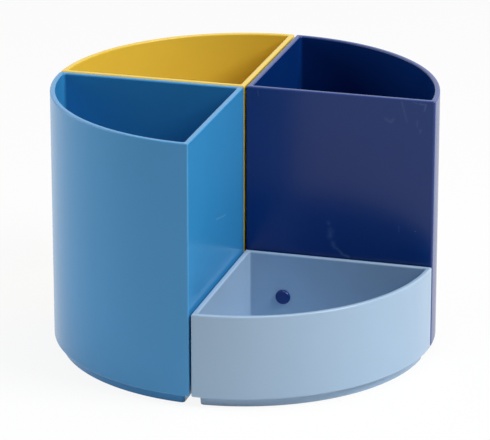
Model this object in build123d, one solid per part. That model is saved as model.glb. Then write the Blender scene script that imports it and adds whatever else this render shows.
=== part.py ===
from build123d import *
from math import asin, degrees, radians, tan
import os

# Round desk organizer: four quarter-round moulded pots that peg together into one drum.
# Millimetres and degrees, +Z up, origin on the desk below the drum's centre line.
# The flat walls face each other across the middle planes x = 0 and y = 0.

# Drum
rim_radius = 65.0
pen_pot_height = 89.5
clip_tray_height = 32.0
seam = 0.5  # between two facing flat walls

# Moulding
wall = 1.8  # at the rim
floor_thickness = 2.0
draft = 0.3  # inside only, so that walls thicken towards the floor and stand upright outside
outer_corner = 0.5
inner_corner = 1.0
rim_bevel = 0.3  # both edges of the rim
base_bevel = 0.4  # where the wall turns under towards the foot
floor_bevel = 0.8  # where the inside wall turns into the floor

# Stacking foot, which drops into the mouth of another pot
foot_height = 3.0
foot_width = 2.0
foot_clearance = 0.3  # from the foot to the walls of the mouth that it drops into
foot_corner = 1.0

# Pegs on one flat wall, and holes in the other for the neighbour's pegs
peg_diameter = 5.0
peg_clearance = 0.05  # radial, in the neighbour's hole
peg_height = 16.8  # axis above the desk
peg_from_centre = 14.0  # inner peg, from the drum's centre line
peg_pitch = 36.0  # from the inner peg to the outer one
peg_reach = 0.8  # past the inside of a tall neighbour's wall
peg_bevel = 0.6

# Places along a flat wall, from the drum's centre line
peg_places = [peg_from_centre, peg_from_centre + peg_pitch]

# A bar or cutter that starts at its own origin and runs along +Z
from_its_end = (Align.CENTER, Align.CENTER, Align.MIN)


def lean(drop):
    """How far the inside of a wall has drawn in at a given drop below its rim."""
    return drop * tan(radians(draft))


# Every peg has the same tip, set by the tall pots' walls, which are the thickest at its height
peg_tip = seam / 2 + wall + lean(pen_pot_height - peg_height) + peg_reach


def quarter(radius, inset):
    """Quarter disc with its two straight sides standing off the middle planes by the inset."""
    turn = degrees(asin(inset / radius))
    arc = CenterArc((0, 0), radius, turn, 90 - 2 * turn)
    corner = (inset, inset)
    return make_face([Line(corner, arc @ 0), arc, Line(arc @ 1, corner)])


def block(radius, inset, top, bottom, taper=0):
    """Quarter-round block that may draw in from its top face down to its bottom face."""
    grown = extrude(quarter(radius, inset), amount=top - bottom, taper=taper)
    return Pos(0, 0, top) * grown.rotate(Axis((0, 0, 0), (1, 1, 0)), 180)


def uprights(body):
    """The three standing edges of a block."""
    return [edge for edge in body.edges() if abs(edge.tangent_at(0.5).Z) > 0.9]


def shell(height):
    """Open pot with a drafted inside, rounded corners, and eased edges at its rim, base and floor."""
    body = block(rim_radius, seam / 2, height, foot_height)
    body = fillet(uprights(body), outer_corner)
    body = chamfer(body.edges().group_by(Axis.Z)[0], base_bevel)
    hollow = block(rim_radius - wall, seam / 2 + wall, height, foot_height + floor_thickness, draft)
    hollow = fillet(uprights(hollow), inner_corner)
    hollow = chamfer(hollow.edges().group_by(Axis.Z)[0], floor_bevel)
    pot = body - hollow
    return chamfer(pot.edges().group_by(Axis.Z)[-1], rim_bevel)


def foot():
    """Standing ring under the floor, set in by a wall and a clearance so that pots stack."""
    set_in = wall + lean(foot_height) + foot_clearance
    outline = quarter(rim_radius - set_in, seam / 2 + set_in)
    ring = extrude(fillet(outline.vertices(), foot_corner), amount=foot_height)
    recess = quarter(rim_radius - set_in - foot_width, seam / 2 + set_in + foot_width)
    return ring - extrude(recess, amount=foot_height)


def peg(place):
    """Peg that stands out of the flat wall at y > 0 and points along -Y, with an eased tip."""
    root = seam / 2 + wall / 2
    bar = Cylinder(peg_diameter / 2, root + peg_tip, align=from_its_end)
    bar = chamfer(bar.edges().group_by(Axis.Z)[-1], peg_bevel)
    return Pos(place, root, peg_height) * Rot(90, 0, 0) * bar


def hole(place):
    """Cutter for the neighbour's peg, along +X through the flat wall at x > 0."""
    cutter = Cylinder(peg_diameter / 2 + peg_clearance, peg_tip, align=from_its_end)
    return Pos(0, place, peg_height) * Rot(0, 90, 0) * cutter


def pot(height):
    """One moulding, in the quarter where x > 0 and y > 0."""
    body = shell(height) + foot()
    for place in peg_places:
        body += peg(place)
        body -= hole(place)
    return body.solid()


pen_pot = pot(pen_pot_height)
clip_tray = pot(clip_tray_height)

# Each pot is turned about the drum's centre line into its own quarter
pieces = {
    "navy_pen_pot": pen_pot,
    "yellow_pen_pot": pen_pot.rotate(Axis.Z, 90),
    "mid_blue_pen_pot": pen_pot.rotate(Axis.Z, 180),
    "pale_blue_clip_tray": clip_tray.rotate(Axis.Z, 270),
}

os.makedirs("parts", exist_ok=True)
for name, piece in pieces.items():
    export_step(piece, f"parts/{name}.step")
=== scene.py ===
"""Looks of a round desk organizer: four quarter-round moulded pots that peg together into one drum."""
from math import cos, pi, radians, sin

import bpy
from bpy.props import FloatProperty, FloatVectorProperty, IntProperty, PointerProperty
from mathutils import Euler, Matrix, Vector


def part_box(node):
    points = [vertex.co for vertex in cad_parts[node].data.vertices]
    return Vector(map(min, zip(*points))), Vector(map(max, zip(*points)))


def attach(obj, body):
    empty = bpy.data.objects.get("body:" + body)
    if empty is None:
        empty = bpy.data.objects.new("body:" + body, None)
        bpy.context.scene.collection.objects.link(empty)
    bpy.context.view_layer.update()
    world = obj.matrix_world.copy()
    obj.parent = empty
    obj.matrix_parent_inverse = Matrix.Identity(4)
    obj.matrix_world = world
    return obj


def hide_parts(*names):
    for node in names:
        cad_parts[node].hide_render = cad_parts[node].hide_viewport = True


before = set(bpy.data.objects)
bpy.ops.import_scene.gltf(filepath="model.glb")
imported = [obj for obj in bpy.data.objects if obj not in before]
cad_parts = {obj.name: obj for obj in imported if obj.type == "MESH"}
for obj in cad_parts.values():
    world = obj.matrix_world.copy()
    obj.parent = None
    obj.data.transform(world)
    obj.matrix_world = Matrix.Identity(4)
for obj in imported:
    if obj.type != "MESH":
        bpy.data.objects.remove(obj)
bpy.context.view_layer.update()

bl_info = {
    "name": "Round desk organizer",
    "version": (1, 0, 0),
    "blender": (4, 5, 0),
    "location": "View3D > Sidebar > Organizer",
    "description": "Builds four moulded pots around their frame, with their plastics and a studio stage",
    "category": "Object",
}

# Sizes that the frame already holds, in metres
PEN_POT_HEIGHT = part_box("navy_pen_pot")[1].z
CLIP_TRAY_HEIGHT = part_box("pale_blue_clip_tray")[1].z
PEG_TIP = -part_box("navy_pen_pot")[0].y

MILLIMETRE = 0.001
QUARTER_TURN = pi / 2


# Settings that a user would change

def length(name, description, millimetres):
    """A length in metres, given in millimetres."""
    return FloatProperty(
        name=name,
        description=description,
        default=millimetres * MILLIMETRE,
        subtype="DISTANCE",
        unit="LENGTH",
        precision=5,
    )


def angle(name, description, degrees):
    """An angle in radians, given in degrees."""
    return FloatProperty(
        name=name,
        description=description,
        default=radians(degrees),
        subtype="ANGLE",
        unit="ROTATION",
    )


def colour(name, description, red, green, blue):
    """A colour in linear light."""
    return FloatVectorProperty(
        name=name,
        description=description,
        default=(red, green, blue),
        subtype="COLOR",
        size=3,
        min=0,
        max=1,
    )


def factor(name, description, share):
    """A share from 0 to 1."""
    return FloatProperty(
        name=name,
        description=description,
        default=share,
        subtype="FACTOR",
        min=0,
        max=1,
    )


def watts(name, description, power):
    """The power of a lamp."""
    return FloatProperty(
        name=name,
        description=description,
        default=power,
        subtype="POWER",
        unit="POWER",
        min=0,
    )


def step_count(name, description, number, least):
    """A number of steps."""
    return IntProperty(name=name, description=description, default=number, min=least)


class PotSizes(bpy.types.PropertyGroup):
    """Sizes that all four mouldings share."""

    rim_radius: length("Rim radius", "From the drum's centre line to the outside of the curved wall", 65)
    wall: length("Wall", "Thickness of every wall at the rim", 1.8)
    floor: length("Floor", "Thickness of the floor", 1.7)
    seam: length("Seam", "Between two facing flat walls", 0.7)
    draft: angle("Draft", "How far the inside of every wall leans in towards the floor", 0.3)
    outer_corner: length("Outer corner", "Radius of the standing corners outside", 0.5)
    centre_corner: length("Centre corner", "Radius of the outside corner at the drum's centre", 0.2)
    inner_corner: length("Inner corner", "Radius of the standing corners inside", 1)
    rim_round: length("Rim rounding", "Radius of both edges of the rim", 0.55)
    base_round: length("Base rounding", "Radius where the wall turns under", 0.45)
    floor_round: length("Floor rounding", "Radius where the inside wall turns into the floor", 0.9)
    foot_height: length("Foot height", "Height of the stacking foot", 3.3)
    foot_width: length("Foot width", "Width of the stacking foot's ring", 2)
    foot_clearance: length("Foot clearance", "From the foot to the mouth that it drops into", 0.3)
    foot_corner: length("Foot corner", "Radius of the foot's standing corners", 1)
    foot_lean: length("Foot lean", "How far the foot's outside draws in towards the desk", 0.2)
    foot_round: length("Foot rounding", "Radius of the foot's lower edges", 0.3)
    peg_diameter: length("Peg diameter", "Diameter of the pegs that join the pots", 5)
    peg_clearance: length("Peg clearance", "Radial room around a peg in its hole", 0.05)
    peg_height: length("Peg height", "Height of the pegs above the desk", 16.8)
    peg_from_centre: length("Peg from centre", "From the drum's centre line to the inner peg", 14)
    peg_pitch: length("Peg pitch", "From the inner peg to the outer one", 36)
    peg_tip: length("Peg tip", "How far the pegs stand past the middle plane", PEG_TIP / MILLIMETRE)
    peg_round: length("Peg rounding", "Radius of the edge of a peg's tip", 0.7)
    arc_steps: step_count("Arc steps", "Steps along each arc of a pot's outline", 40, 4)
    round_steps: step_count("Rounding steps", "Steps across a rounded edge", 8, 2)


class PlasticFinish(bpy.types.PropertyGroup):
    """Colours and finish of the moulded plastics."""

    navy: colour("Navy", "Colour of the navy pen pot", 0.0005, 0.029, 0.176)
    yellow: colour("Yellow", "Colour of the yellow pen pot", 0.84, 0.59, 0.062)
    mid_blue: colour("Mid blue", "Colour of the mid-blue pen pot", 0.034, 0.27, 0.566)
    pale_blue: colour("Pale blue", "Colour of the clip tray", 0.342, 0.485, 0.645)
    roughness: factor("Roughness", "Roughness of clean moulded plastic", 0.22)
    grain_depth: length("Grain depth", "Height of the fine grain on the curved walls", 0.008)
    ripple_depth: length("Ripple depth", "Height of the slow ripple in every wall", 0.006)


class StudioStage(bpy.types.PropertyGroup):
    """Floor, lamps and camera."""

    floor_colour: colour("Floor", "Colour of the floor", 0.92, 0.92, 0.92)
    sky: factor("Sky", "Strength of the even light from all round", 0.14)
    right_power: watts("Right lamp", "Power of the soft lamp above the right", 7.0)
    left_power: watts("Left lamp", "Power of the soft lamp low on the left", 4.95)
    top_power: watts("Top lamp", "Power of the soft lamp overhead", 2.2)
    azimuth: angle("Azimuth", "Camera's turn round the object, from straight ahead towards +X", 15.92)
    elevation: angle("Elevation", "Camera's height above the horizon", 19.265)
    distance: length("Distance", "From the camera to the point that it looks at", 1140)
    aim_height: length("Aim height", "Height of the point that the camera looks at", 42.3)
    lens: FloatProperty(name="Lens", description="Focal length in millimetres", default=247.8, min=1)


# Node trees written as expressions

def pick(sockets, key):
    """The socket with that number, or the first one in use with that name."""
    if isinstance(key, int):
        return sockets[key]
    return next(socket for socket in sockets if socket.name == key and socket.enabled)


class Value:
    """An output socket. Arithmetic on it adds Math nodes to its tree."""

    def __init__(self, graph, socket):
        self.graph = graph
        self.socket = socket

    def other(self, name):
        """Another output of the same node."""
        return Value(self.graph, pick(self.socket.node.outputs, name))

    def math(self, operation, *terms):
        """A Math node of one to three terms, of which this is the first."""
        return self.graph.math(operation, self, *terms)

    def __add__(self, term):
        return self.graph.math("ADD", self, term)

    def __radd__(self, term):
        return self.graph.math("ADD", term, self)

    def __sub__(self, term):
        return self.graph.math("SUBTRACT", self, term)

    def __rsub__(self, term):
        return self.graph.math("SUBTRACT", term, self)

    def __mul__(self, term):
        return self.graph.math("MULTIPLY", self, term)

    def __rmul__(self, term):
        return self.graph.math("MULTIPLY", term, self)

    def __truediv__(self, term):
        return self.graph.math("DIVIDE", self, term)

    def __rtruediv__(self, term):
        return self.graph.math("DIVIDE", term, self)

    def __lt__(self, term):
        return self.graph.math("LESS_THAN", self, term)

    def __gt__(self, term):
        return self.graph.math("GREATER_THAN", self, term)


class Graph:
    """A node tree under construction."""

    def __init__(self, tree):
        self.tree = tree
        tree.nodes.clear()

    def node(self, kind, settings=None, sockets=None, output=0):
        """Adds a node with its settings, then its sockets' values or links, and gives one output."""
        node = self.tree.nodes.new(kind)
        for name, setting in (settings or {}).items():
            if name == "choices":
                while len(node.index_switch_items) < setting:
                    node.index_switch_items.new()
            else:
                setattr(node, name, setting)
        for key, values in (sockets or {}).items():
            socket = pick(node.inputs, key)
            for value in values if isinstance(values, list) else [values]:
                if isinstance(value, Value):
                    self.tree.links.new(value.socket, socket)
                else:
                    socket.default_value = value
        return Value(self, pick(node.outputs, output)) if node.outputs else None

    def math(self, operation, *terms):
        """A Math node."""
        return self.node("ShaderNodeMath", {"operation": operation}, dict(enumerate(terms)))

    def vector_math(self, operation, *terms, output=0):
        """A Vector Math node."""
        sockets = dict(enumerate(terms))
        return self.node("ShaderNodeVectorMath", {"operation": operation}, sockets, output)

    def vector(self, x, y, z):
        """A vector of three values."""
        return self.node("ShaderNodeCombineXYZ", {}, {"X": x, "Y": y, "Z": z})

    def split(self, vector):
        """The three values of a vector."""
        x = self.node("ShaderNodeSeparateXYZ", {}, {"Vector": vector}, "X")
        return x, x.other("Y"), x.other("Z")

    def mix(self, start, end, share):
        """A colour between two colours."""
        sockets = {"Factor": share, "A": start, "B": end}
        return self.node("ShaderNodeMix", {"data_type": "RGBA"}, sockets, "Result")

    def ease(self, value, low, high):
        """0 below the low value, 1 above the high one, and smooth between; low may be the larger."""
        sockets = {"Value": value, "From Min": low, "From Max": high}
        return self.node("ShaderNodeMapRange", {"interpolation_type": "SMOOTHSTEP"}, sockets)

    def noise(self, place, per_metre, detail=2.0, roughness=0.5):
        """Soft random values about 0.5 with that many features to the metre."""
        sockets = {"Vector": place, "Scale": per_metre, "Detail": detail, "Roughness": roughness}
        return self.node("ShaderNodeTexNoise", {"noise_dimensions": "3D"}, sockets, "Fac")

    def choose(self, index, choices, kind="FLOAT"):
        """The choice with that number."""
        sockets = {str(number): choice for number, choice in enumerate(choices)}
        sockets["Index"] = index
        settings = {"data_type": kind, "choices": len(choices)}
        return self.node("GeometryNodeIndexSwitch", settings, sockets)


# Geometry Nodes tree of one pot

WELD = 0.000001  # points closer than this are one point
SUPPORT = 0.00015  # from a rounding to the ring that keeps the flat beside it flat
CAP_MARGIN = 0.004  # from the last rounding to the flat cap of a floor or underside
SHARP = radians(30)  # edges that turn more than this are drawn sharp
ARCS = 4.0  # of a pot's outline: the curved wall and the three standing corners
PEGS = 2  # on one flat wall, and as many holes in the other


def rounded_profile(graph, corners, steps):
    """Curve through corner points (across, corner radius, up), each rounded by its own radius."""
    index = graph.node("GeometryNodeInputIndex")
    line = graph.node("GeometryNodeMeshLine", {}, {"Count": len(corners)})
    place = graph.choose(index, [graph.vector(*corner[:3]) for corner in corners], "VECTOR")
    line = graph.node("GeometryNodeSetPosition", {}, {"Geometry": line, "Position": place})
    curve = graph.node("GeometryNodeMeshToCurve", {}, {"Mesh": line})
    radius = graph.choose(index, [corner[3] for corner in corners])
    sockets = {"Curve": curve, "Count": steps, "Radius": radius, "Limit Radius": True}
    return graph.node("GeometryNodeFilletCurve", {"mode": "POLY"}, sockets)


def swept(graph, profile, columns, place):
    """Surface with one ring for each point of a profile, where place gives a point of a ring."""
    settings = {"component": "CURVE"}
    rings = graph.node("GeometryNodeAttributeDomainSize", settings, {"Geometry": profile}, "Point Count")
    grid = graph.node("GeometryNodeMeshGrid", {}, {"Vertices X": rings, "Vertices Y": columns})
    index = graph.node("GeometryNodeInputIndex")
    # Half a column more keeps the division clear of a whole number
    ring = ((index + 0.5) / columns).math("FLOOR")
    column = index - ring * columns
    own_place = graph.node("GeometryNodeInputPosition")
    sockets = {"Geometry": profile, "Value": own_place, "Index": ring}
    settings = {"data_type": "FLOAT_VECTOR", "domain": "POINT"}
    across, corner, up = graph.split(graph.node("GeometryNodeSampleIndex", settings, sockets))
    position = place(across, corner, up, column)
    surface = graph.node("GeometryNodeSetPosition", {}, {"Geometry": grid, "Position": position})
    return graph.node("GeometryNodeMergeByDistance", {}, {"Geometry": surface, "Distance": WELD})


def quarter_outline(graph, size):
    """Function that places a column on a quarter's rounded outline, and the number of columns."""
    steps = size["Arc steps"]
    # An arc has one column more than it has steps, and an extra one at each end
    arc_columns = steps + 3.0
    # The corner at the drum's centre is sharper than the others, inside and out
    sharper = size["Outer corner"] - size["Centre corner"]

    def place(inset, corner, up, column):
        stand_off = size["Seam"] / 2.0 + inset + corner
        centre_corner = corner - sharper
        centre = stand_off - sharper
        reach = size["Rim radius"] - inset - corner
        along = (reach * reach - stand_off * stand_off).math("SQRT")
        turn = (stand_off / reach).math("ARCSINE")
        lap = ((column + 0.5) / arc_columns).math("FLOOR")
        step = column - lap * arc_columns
        # In order: an outer corner, the curved wall, the other outer corner, the corner at the centre
        arc = lap.math("MODULO", ARCS)
        centre_x = graph.choose(arc, [along, 0.0, stand_off, centre])
        centre_y = graph.choose(arc, [stand_off, 0.0, along, centre])
        radius = graph.choose(arc, [corner, size["Rim radius"] - inset, corner, centre_corner])
        start = graph.choose(arc, [-QUARTER_TURN, turn, QUARTER_TURN - turn, pi])
        end = graph.choose(arc, [turn, QUARTER_TURN - turn, pi, pi + QUARTER_TURN])
        # The extra columns stand a little way along the flat walls, to keep them flat
        before = graph.choose(arc, [SUPPORT, 0.0, 0.0, SUPPORT]) * (step < 0.5)
        after = graph.choose(arc, [0.0, 0.0, SUPPORT, SUPPORT]) * (step > steps + 1.5)
        share = ((step - 1.0) / steps).math("MINIMUM", 1.0).math("MAXIMUM", 0.0)
        bearing = start + (end - start) * share
        sine = bearing.math("SINE")
        cosine = bearing.math("COSINE")
        x = centre_x + radius * cosine - (after - before) * sine
        y = centre_y + radius * sine + (after - before) * cosine
        return graph.vector(x, y, up)

    return place, arc_columns * ARCS + 1.0


def flat_cap(graph, shell, above, level, height):
    """Flat face across the open loop of a shell that lies above a level, or below it."""
    edges = graph.node("GeometryNodeInputMeshEdgeNeighbors", {}, {}, "Face Count")
    up = graph.split(graph.node("GeometryNodeInputPosition"))[2]
    # An edge of the open loop has one face
    loop = (edges < 1.5) * ((up > level) if above else (up < level))
    curve = graph.node("GeometryNodeMeshToCurve", {}, {"Mesh": shell, "Selection": loop})
    face = graph.node("GeometryNodeFillCurve", {"mode": "NGONS"}, {"Curve": curve})
    offset = graph.vector(0.0, 0.0, height)
    face = graph.node("GeometryNodeSetPosition", {}, {"Geometry": face, "Offset": offset})
    return face if above else graph.node("GeometryNodeFlipFaces", {}, {"Mesh": face})


def pot_shell(graph, size):
    """Closed shell of a pot: floor, inside wall, rim, outside wall, stacking foot and underside."""
    height = size["Height"]
    slope = size["Draft"].math("TANGENT")
    wall = size["Wall"]
    inner = size["Inner corner"]
    outer = size["Outer corner"]
    foot = size["Foot corner"]
    underside = size["Foot height"]
    floor = underside + size["Floor"]

    def lean(up):
        return (height - up) * slope

    foot_outside = wall + size["Foot height"] * slope + size["Foot clearance"]
    foot_inside = foot_outside + size["Foot width"]
    floor_ring = floor + size["Floor rounding"] + SUPPORT
    rim_ring = height - size["Rim rounding"] - SUPPORT
    base_ring = underside + size["Base rounding"] + SUPPORT
    rim_support = size["Rim rounding"] + SUPPORT
    corners = [
        (wall + lean(floor) + CAP_MARGIN, inner, floor, 0.0),
        (wall + lean(floor) + size["Floor rounding"] + SUPPORT, inner, floor, 0.0),
        (wall + lean(floor), inner, floor, size["Floor rounding"]),
        (wall + lean(floor_ring), inner, floor_ring, 0.0),
        (wall + lean(rim_ring), inner, rim_ring, 0.0),
        (wall, inner, height, size["Rim rounding"]),
        (wall - rim_support, inner, height, 0.0),
        (rim_support, outer, height, 0.0),
        (0.0, outer, height, size["Rim rounding"]),
        (0.0, outer, rim_ring, 0.0),
        (0.0, outer, base_ring, 0.0),
        (0.0, outer, underside, size["Base rounding"]),
        (foot_outside, foot, underside, 0.0),
        (foot_outside + size["Foot lean"], foot, 0.0, size["Foot rounding"]),
        (foot_inside, foot, 0.0, size["Foot rounding"]),
        (foot_inside, foot, underside, 0.0),
        (foot_inside + CAP_MARGIN, foot, underside, 0.0),
    ]
    profile = rounded_profile(graph, corners, size["Rounding steps"])
    place, columns = quarter_outline(graph, size)
    shell = swept(graph, profile, columns, place)
    middle = underside + size["Floor"] / 2.0
    inside = flat_cap(graph, shell, True, middle, floor)
    below = flat_cap(graph, shell, False, middle, underside)
    closed = graph.node("GeometryNodeJoinGeometry", {}, {"Geometry": [shell, inside, below]})
    return graph.node("GeometryNodeMergeByDistance", {}, {"Geometry": closed, "Distance": WELD})


def row_of_two(graph, shape, start, step, turn):
    """Copies of a shape for the two pegs of a wall, turned to lie along their axis."""
    line = {"Count": PEGS, "Start Location": start, "Offset": step}
    points = graph.node("GeometryNodeMeshLine", {}, line)
    sockets = {"Points": points, "Instance": shape, "Rotation": turn}
    copies = graph.node("GeometryNodeInstanceOnPoints", {}, sockets)
    return graph.node("GeometryNodeRealizeInstances", {}, {"Geometry": copies})


def pot_pegs(graph, size):
    """Two round-tipped pegs that stand out of the flat wall at y > 0, towards -Y."""
    root = size["Seam"] / 2.0 + size["Wall"] / 2.0
    radius = size["Peg diameter"] / 2.0
    tip = root + size["Peg tip"]
    corners = [
        (0.0, 0.0, tip, 0.0),
        (radius - size["Peg rounding"] - SUPPORT, 0.0, tip, 0.0),
        (radius, 0.0, tip, size["Peg rounding"]),
        (radius, 0.0, tip - size["Peg rounding"] - SUPPORT, 0.0),
        (radius, 0.0, 0.0, 0.0),
        (0.0, 0.0, 0.0, 0.0),
    ]
    columns = size["Arc steps"] + 1.0

    def place(across, corner, up, column):
        bearing = column * (2 * pi) / size["Arc steps"]
        return graph.vector(across * bearing.math("COSINE"), across * bearing.math("SINE"), up)

    peg = swept(graph, rounded_profile(graph, corners, size["Rounding steps"]), columns, place)
    start = graph.vector(size["Peg from centre"], root, size["Peg height"])
    step = graph.vector(size["Peg pitch"], 0.0, 0.0)
    return row_of_two(graph, peg, start, step, (QUARTER_TURN, 0.0, 0.0))


def peg_holes(graph, size):
    """Cutters along X for the neighbour's two pegs, through the flat wall at x > 0."""
    sockets = {
        "Vertices": size["Arc steps"],
        "Radius": size["Peg diameter"] / 2.0 + size["Peg clearance"],
        "Depth": size["Peg tip"] * 2.0,
    }
    cutter = graph.node("GeometryNodeMeshCylinder", {}, sockets)
    start = graph.vector(0.0, size["Peg from centre"], size["Peg height"])
    step = graph.vector(0.0, size["Peg pitch"], 0.0)
    return row_of_two(graph, cutter, start, step, (0.0, QUARTER_TURN, 0.0))


def own_properties(group):
    """A property group's own settings."""
    return [group.bl_rna.properties[name] for name in group.__annotations__]


def quarter_pot_tree():
    """Geometry Nodes tree of one moulded pot, with a named input for each of its sizes."""
    tree = bpy.data.node_groups.new("quarter_pot", "GeometryNodeTree")
    graph = Graph(tree)
    kinds = {"FLOAT": "NodeSocketFloat", "INT": "NodeSocketInt"}
    inputs = [(setting.name, kinds[setting.type]) for setting in own_properties(PotSizes)]
    inputs += [
        ("Height", "NodeSocketFloat"),
        ("Turn", "NodeSocketFloat"),
        ("Plastic", "NodeSocketMaterial"),
    ]
    for name, kind in inputs:
        tree.interface.new_socket(name, in_out="INPUT", socket_type=kind)
    tree.interface.new_socket("Pot", in_out="OUTPUT", socket_type="NodeSocketGeometry")
    first = graph.node("NodeGroupInput")
    size = {name: first.other(name) for name, kind in inputs}

    shell = pot_shell(graph, size)
    cut = {"Mesh 1": shell, "Mesh 2": peg_holes(graph, size)}
    pot = graph.node("GeometryNodeMeshBoolean", {"operation": "DIFFERENCE", "solver": "MANIFOLD"}, cut)
    joined = {"Mesh": [pot, pot_pegs(graph, size)]}
    pot = graph.node("GeometryNodeMeshBoolean", {"operation": "UNION", "solver": "MANIFOLD"}, joined)
    smooth = {"Geometry": pot, "Shade Smooth": True}
    pot = graph.node("GeometryNodeSetShadeSmooth", {"domain": "FACE"}, smooth)
    gentle = graph.node("GeometryNodeInputMeshEdgeAngle") < SHARP
    sharpened = {"Geometry": pot, "Shade Smooth": gentle}
    pot = graph.node("GeometryNodeSetShadeSmooth", {"domain": "EDGE"}, sharpened)
    turned = {"Geometry": pot, "Rotation": graph.vector(0.0, 0.0, size["Turn"])}
    pot = graph.node("GeometryNodeTransform", {}, turned)
    pot = graph.node("GeometryNodeRealizeInstances", {}, {"Geometry": pot})
    pot = graph.node("GeometryNodeSetMaterial", {}, {"Geometry": pot, "Material": size["Plastic"]})
    graph.node("NodeGroupOutput", {}, {"Pot": pot})
    return tree


# Plastics

GRAIN_MARGIN = 0.001  # grain, and the painted sheen of the curved walls, end this far inside the curved wall's outside
RIM_MARGIN = 0.0003  # wear and the painted highlight on the rim end this far below its top
PALE_WHITE = 0.32  # white in the paler colour of worn plastic, of the painted rim highlight and of the painted sheen, whose rest is its own hue at full brightness
SCUFF_OWN = 0.5  # of the plastic's own colour in the colour of a scuff
SCUFF_GREY = (0.25, 0.42, 0.5)  # added to it
REFRACTION = 1.4  # index of refraction of all four plastics

# Noises: features to the metre
FLOW_SCALE = 25.0
RUB_SCALE = 45.0
BREAK_SCALE = 1100.0
GRAIN_SCALE = 2600.0
RIPPLE_SCALE = 90.0

# What each does to the colour: flow to its brightness, the others to the share of the paler colour
FLOW_TINT = 0.04
RUB_TINT = 0.01
# The rim's share is partly wear and partly a painted highlight
RIM_WEAR_HIGHLIGHT_TINT = 0.1
# The curved walls' share is partly the grain's own paler look and partly a painted sheen
GRAIN_SHEEN_TINT = 0.07

# What each adds to the roughness
FLOW_ROUGHNESS = 0.04
RIM_ROUGHNESS = 0.01
GRAIN_ROUGHNESS = 0.02
SCUFF_ROUGHNESS = 0.1

# Scuffs break up into faint and strong places
BREAK_RANGE = (0.35, 0.6)
FAINT_SCUFF = 0.5
STRONG_SCUFF = 1.2


def stroke(graph, place, points, width):
    """1 on a line through points, easing to 0 at half its width."""
    mask = None
    for start, end in zip(points, points[1:]):
        along = end - start
        offset = graph.vector_math("SUBTRACT", place, start)
        share = graph.vector_math("DOT_PRODUCT", offset, along, output="Value") / along.length_squared
        share = share.math("MINIMUM", 1.0).math("MAXIMUM", 0.0)
        nearest = graph.node("ShaderNodeVectorMath", {"operation": "SCALE"}, {0: along, "Scale": share})
        gap = graph.vector_math("DISTANCE", offset, nearest, output="Value")
        run = graph.ease(gap, width / 2, 0.0)
        mask = mask.math("MAXIMUM", run) if mask else run
    return mask


def moulded_plastic(name, base, finish, sizes, height, scuffs):
    """Satin moulded plastic: faint flow in its colour, grain outside with a painted sheen, a rim paler
    from wear and a painted highlight, and light scuffs.
    """
    material = bpy.data.materials.new(name)
    material.use_nodes = True
    graph = Graph(material.node_tree)
    place = graph.node("ShaderNodeTexCoord", output="Object")
    x, y, z = graph.split(place)
    radius = (x * x + y * y).math("SQRT")
    grain_start = sizes.rim_radius - GRAIN_MARGIN
    curved_wall = graph.ease(radius, grain_start, grain_start + GRAIN_MARGIN / 2)
    rim = graph.ease(z, height - RIM_MARGIN, height)

    flow = graph.noise(place, FLOW_SCALE)
    rubbed = graph.noise(place, RUB_SCALE, detail=3.0, roughness=0.6)
    darker = tuple((1.0 - FLOW_TINT) * part for part in base) + (1.0,)
    lighter = tuple(min(1.0, (1.0 + FLOW_TINT) * part) for part in base) + (1.0,)
    pale = tuple(PALE_WHITE + (1.0 - PALE_WHITE) * part / max(base) for part in base) + (1.0,)
    tint = graph.mix(darker, lighter, flow)
    # Paler where rubbed, on the rim from wear and a painted highlight, and on the curved walls from the
    # grain and a painted sheen
    tint = graph.mix(tint, pale, rubbed * RUB_TINT + rim * RIM_WEAR_HIGHLIGHT_TINT + curved_wall * GRAIN_SHEEN_TINT)
    roughness = finish.roughness + (flow - 0.5) * FLOW_ROUGHNESS
    roughness = roughness + rim * RIM_ROUGHNESS + curved_wall * GRAIN_ROUGHNESS

    if scuffs:
        marks = [stroke(graph, place, points, width) * strength for points, width, strength in scuffs]
        broken = graph.ease(graph.noise(place, BREAK_SCALE), *BREAK_RANGE)
        mark = sum(marks[1:], marks[0]) * (FAINT_SCUFF + (STRONG_SCUFF - FAINT_SCUFF) * broken)
        scuffed = tuple(SCUFF_OWN * part + grey for part, grey in zip(base, SCUFF_GREY)) + (1.0,)
        tint = graph.mix(tint, scuffed, mark)
        roughness = roughness + mark * SCUFF_ROUGHNESS

    grain = graph.noise(place, GRAIN_SCALE, detail=1.0) * curved_wall * (finish.grain_depth / MILLIMETRE)
    ripple = graph.noise(place, RIPPLE_SCALE, detail=1.0) * (finish.ripple_depth / MILLIMETRE)
    relief = {"Strength": 1.0, "Distance": MILLIMETRE, "Height": grain + ripple}
    bump = graph.node("ShaderNodeBump", {}, relief)
    sockets = {"Base Color": tint, "Roughness": roughness, "Normal": bump, "IOR": REFRACTION}
    shader = graph.node("ShaderNodeBsdfPrincipled", {}, sockets)
    graph.node("ShaderNodeOutputMaterial", {}, {"Surface": shader})
    return material


# Scuffs on the flat walls, by pot and wall: width in millimetres, strength, and points in millimetres
# along the wall from the drum's centre line and up from the desk

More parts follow.
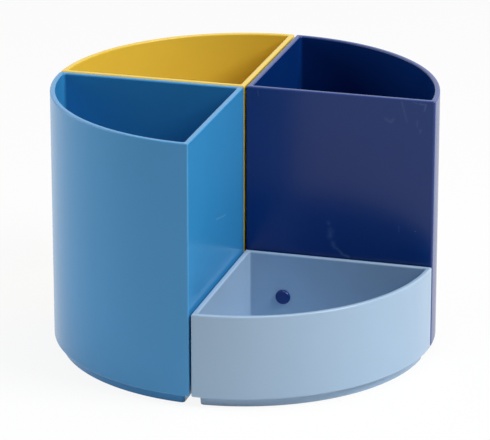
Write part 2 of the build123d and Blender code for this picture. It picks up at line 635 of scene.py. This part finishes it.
SCUFFS = {
    "navy": {
        "pegged": [
            (1.1, 0.06, [(53.6, 88.5), (54.4, 85.5)]),
            (1.1, 0.04, [(54.4, 85.5), (55.5, 81.8)]),
            (1.2, 0.08, [(59.6, 88.4), (61.8, 88.1), (61.3, 86.0)]),
            (1.0, 0.06, [(57.4, 88.9), (58.6, 88.4)]),
            (1.9, 0.06, [(48.2, 82.3), (50.1, 81.2), (50.9, 82.4)]),
            (1.3, 0.04, [(59.1, 82.4), (58.9, 80.7)]),
            (1.3, 0.06, [(60.1, 79.4), (59.9, 78.2)]),
            (0.9, 0.09, [(53.2, 45.1), (53.4, 43.3)]),
            (0.6, 0.2, [(58.9, 43.8), (59.1, 43.8)]),
            (0.5, 0.08, [(56.6, 46.0), (56.8, 46.0)]),
            (2.4, 0.07, [(29.0, 44.2), (29.2, 43.8)]),
            (3.6, 0.08, [(29.8, 41.3), (29.6, 39.2)]),
            (3.0, 0.08, [(30.6, 36.8), (31.2, 35.6)]),
            (1.8, 0.1, [(32.3, 34.8), (33.9, 33.3), (36.1, 32.5)]),
            (0.8, 0.06, [(4.3, 88.7), (4.6, 86.5)]),
            (0.5, 0.06, [(3.0, 58.4), (3.0, 58.8)]),
            (0.5, 0.05, [(19.4, 71.2), (19.6, 71.2)]),
            (0.5, 0.05, [(26.7, 72.7), (26.9, 72.7)]),
        ],
    },
    "mid_blue": {
        "holed": [
            (1.0, 0.21, [(33.1, 53.6), (25.0, 52.0), (21.9, 51.5)]),
        ],
    },
}


def wall_point(sizes, wall, along, up, quarter):
    """A point on the outside of a flat wall: the one with the pegs or the one with the holes."""
    along *= MILLIMETRE
    stand_off = sizes.seam / 2
    place = (along, stand_off) if wall == "pegged" else (stand_off, along)
    point = Vector((*place, up * MILLIMETRE))
    point.rotate(Euler((0, 0, quarter * QUARTER_TURN)))
    return point


def placed_scuffs(sizes, pot_name, quarter):
    """A pot's scuffs, as points, width and strength, in metres."""
    placed = []
    for wall, scuffs in SCUFFS.get(pot_name, {}).items():
        for width, strength, points in scuffs:
            line = [wall_point(sizes, wall, along, up, quarter) for along, up in points]
            placed.append((line, width * MILLIMETRE, strength))
    return placed


# Pieces: name, the CAD node that it stands for, its body, its slot, its quarter of the drum
# and its colour

PEN_POTS = [
    ("navy_pot_moulding", "navy_pen_pot", "navy_pot", "navy_plastic", 0, "navy"),
    ("yellow_pot_moulding", "yellow_pen_pot", "yellow_pot", "yellow_plastic", 1, "yellow"),
    ("mid_blue_pot_moulding", "mid_blue_pen_pot", "mid_blue_pot", "mid_blue_plastic", 2, "mid_blue"),
]
CLIP_TRAY = (
    "clip_tray_moulding", "pale_blue_clip_tray", "clip_tray", "pale_blue_plastic", 3, "pale_blue",
)


def grown(name, tree, values):
    """Object whose plain mesh is what a Geometry Nodes tree makes of these values."""
    blank = bpy.data.meshes.new(name + "_blank")
    piece = bpy.data.objects.new(name, blank)
    bpy.context.scene.collection.objects.link(piece)
    modifier = piece.modifiers.new(tree.name, "NODES")
    modifier.node_group = tree
    for socket in tree.interface.items_tree:
        if socket.in_out == "INPUT":
            modifier[socket.identifier] = values[socket.name]
    depsgraph = bpy.context.evaluated_depsgraph_get()
    mesh = bpy.data.meshes.new_from_object(piece.evaluated_get(depsgraph), depsgraph=depsgraph)
    mesh.name = name
    piece.modifiers.remove(modifier)
    piece.data = mesh
    bpy.data.meshes.remove(blank)
    if not mesh.polygons:
        raise RuntimeError(f"{tree.name} made no faces for {name}")
    return piece


def build_pot(scene, pot, height):
    """One moulding, in place of its CAD node."""
    name, node, body, slot, quarter, colour_name = pot
    sizes = scene.organizer_sizes
    finish = scene.organizer_finish
    tree = bpy.data.node_groups.get("quarter_pot") or quarter_pot_tree()
    values = {setting.name: getattr(sizes, setting.identifier) for setting in own_properties(PotSizes)}
    values["Height"] = height
    values["Turn"] = quarter * QUARTER_TURN
    base = tuple(getattr(finish, colour_name))
    scuffs = placed_scuffs(sizes, colour_name, quarter)
    values["Plastic"] = moulded_plastic(slot, base, finish, sizes, height, scuffs)
    piece = grown(name, tree, values)
    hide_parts(node)
    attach(piece, body)


class ORGANIZER_OT_pen_pots(bpy.types.Operator):
    """Builds the three tall pen pots in place of their CAD nodes"""

    bl_idname = "organizer.pen_pots"
    bl_label = "Pen pots"

    def execute(self, context):
        for pot in PEN_POTS:
            build_pot(context.scene, pot, PEN_POT_HEIGHT)
        return {"FINISHED"}


class ORGANIZER_OT_clip_tray(bpy.types.Operator):
    """Builds the low clip tray in place of its CAD node"""

    bl_idname = "organizer.clip_tray"
    bl_label = "Clip tray"

    def execute(self, context):
        build_pot(context.scene, CLIP_TRAY, CLIP_TRAY_HEIGHT)
        return {"FINISHED"}


# Stage

WHITE = (1.0, 1.0, 1.0, 1.0)
FLOOR_REACH = 4.0  # metres from the middle to each edge
FLOOR_DROP = 0.0001  # metres below the object
FLOOR_GLOW = 0.9  # even white in the floor as it is seen, whose rest takes light and shadow
SENSOR_WIDTH = 36  # millimetres

# Lamps: side, place and size in metres
LAMPS = [
    ("right", (0.68, -0.1, 0.68), 0.4),
    ("left", (-0.9, -0.1, 0.25), 0.9),
    ("top", (0.1, 0.05, 0.95), 0.3),
]


def seen_directly(graph):
    """1 where the camera, a reflection or a clear surface looks at a background, and 0 for its light."""
    camera = graph.node("ShaderNodeLightPath", output="Is Camera Ray")
    seen = camera.math("MAXIMUM", camera.other("Is Glossy Ray"))
    return seen.math("MAXIMUM", camera.other("Is Transmission Ray"))


def white_world(scene, stage):
    """Even light from all round, behind a white background."""
    world = bpy.data.worlds.new("studio")
    world.use_nodes = True
    graph = Graph(world.node_tree)
    strength = stage.sky + seen_directly(graph) * (1.0 - stage.sky)
    background = graph.node("ShaderNodeBackground", {}, {"Color": WHITE, "Strength": strength})
    graph.node("ShaderNodeOutputWorld", {}, {"Surface": background})
    scene.world = world


def white_floor(scene, stage):
    """Pale floor that keeps a soft shadow."""
    mesh = bpy.data.meshes.new("floor")
    corners = [(-1, -1), (1, -1), (1, 1), (-1, 1)]
    points = [(x * FLOOR_REACH, y * FLOOR_REACH, -FLOOR_DROP) for x, y in corners]
    mesh.from_pydata(points, [], [(0, 1, 2, 3)])
    floor = bpy.data.objects.new("floor", mesh)
    scene.collection.objects.link(floor)
    material = bpy.data.materials.new("floor_paper")
    material.use_nodes = True
    graph = Graph(material.node_tree)
    matt = graph.node("ShaderNodeBsdfDiffuse", {}, {"Color": (*stage.floor_colour, 1.0)})
    glow = graph.node("ShaderNodeEmission", {}, {"Color": WHITE, "Strength": 1.0})
    share = seen_directly(graph) * FLOOR_GLOW
    surface = graph.node("ShaderNodeMixShader", {}, {0: share, 1: matt, 2: glow})
    graph.node("ShaderNodeOutputMaterial", {}, {"Surface": surface})
    mesh.materials.append(material)


def soft_lamp(scene, name, place, size, power, aim):
    """Large square lamp that faces a point."""
    light = bpy.data.lights.new(name, "AREA")
    light.shape = "SQUARE"
    light.size = size
    light.energy = power
    lamp = bpy.data.objects.new(name, light)
    lamp.location = place
    lamp.rotation_euler = (Vector(aim) - Vector(place)).to_track_quat("-Z", "Y").to_euler()
    scene.collection.objects.link(lamp)


def photo_camera(scene, stage):
    """Camera at the photograph's viewing angle."""
    data = bpy.data.cameras.new("camera")
    data.lens = stage.lens
    data.sensor_width = SENSOR_WIDTH
    data.sensor_fit = "HORIZONTAL"
    camera = bpy.data.objects.new("camera", data)
    level = cos(stage.elevation)
    back = Vector((sin(stage.azimuth) * level, -cos(stage.azimuth) * level, sin(stage.elevation)))
    camera.location = Vector((0, 0, stage.aim_height)) + back * stage.distance
    camera.rotation_euler = (-back).to_track_quat("-Z", "Y").to_euler()
    scene.collection.objects.link(camera)
    scene.camera = camera


class ORGANIZER_OT_stage(bpy.types.Operator):
    """Sets the white floor, the soft lamps and the camera"""

    bl_idname = "organizer.stage"
    bl_label = "Stage"

    def execute(self, context):
        scene = context.scene
        stage = scene.organizer_stage
        scene.view_settings.view_transform = "Standard"
        aim = (0.0, 0.0, stage.aim_height)
        white_world(scene, stage)
        white_floor(scene, stage)
        for side, place, size in LAMPS:
            soft_lamp(scene, side + "_lamp", place, size, getattr(stage, side + "_power"), aim)
        photo_camera(scene, stage)
        return {"FINISHED"}


class ORGANIZER_PT_panel(bpy.types.Panel):
    """Lists the settings and the steps that build the organizer"""

    bl_idname = "ORGANIZER_PT_panel"
    bl_label = "Round desk organizer"
    bl_space_type = "VIEW_3D"
    bl_region_type = "UI"
    bl_category = "Organizer"

    def draw(self, context):
        layout = self.layout
        scene = context.scene
        for group in (scene.organizer_sizes, scene.organizer_finish, scene.organizer_stage):
            box = layout.box()
            for setting in own_properties(type(group)):
                box.prop(group, setting.identifier)
        for step in STEPS:
            layout.operator(step.bl_idname)


STEPS = [ORGANIZER_OT_pen_pots, ORGANIZER_OT_clip_tray, ORGANIZER_OT_stage]
CLASSES = [PotSizes, PlasticFinish, StudioStage, *STEPS, ORGANIZER_PT_panel]


def register():
    for each in CLASSES:
        bpy.utils.register_class(each)
    bpy.types.Scene.organizer_sizes = PointerProperty(type=PotSizes)
    bpy.types.Scene.organizer_finish = PointerProperty(type=PlasticFinish)
    bpy.types.Scene.organizer_stage = PointerProperty(type=StudioStage)


def unregister():
    del bpy.types.Scene.organizer_stage
    del bpy.types.Scene.organizer_finish
    del bpy.types.Scene.organizer_sizes
    for each in reversed(CLASSES):
        bpy.utils.unregister_class(each)


def main():
    register()
    bpy.ops.organizer.pen_pots()
    bpy.ops.organizer.clip_tray()
    bpy.ops.organizer.stage()


if __name__ == "__main__":
    main()
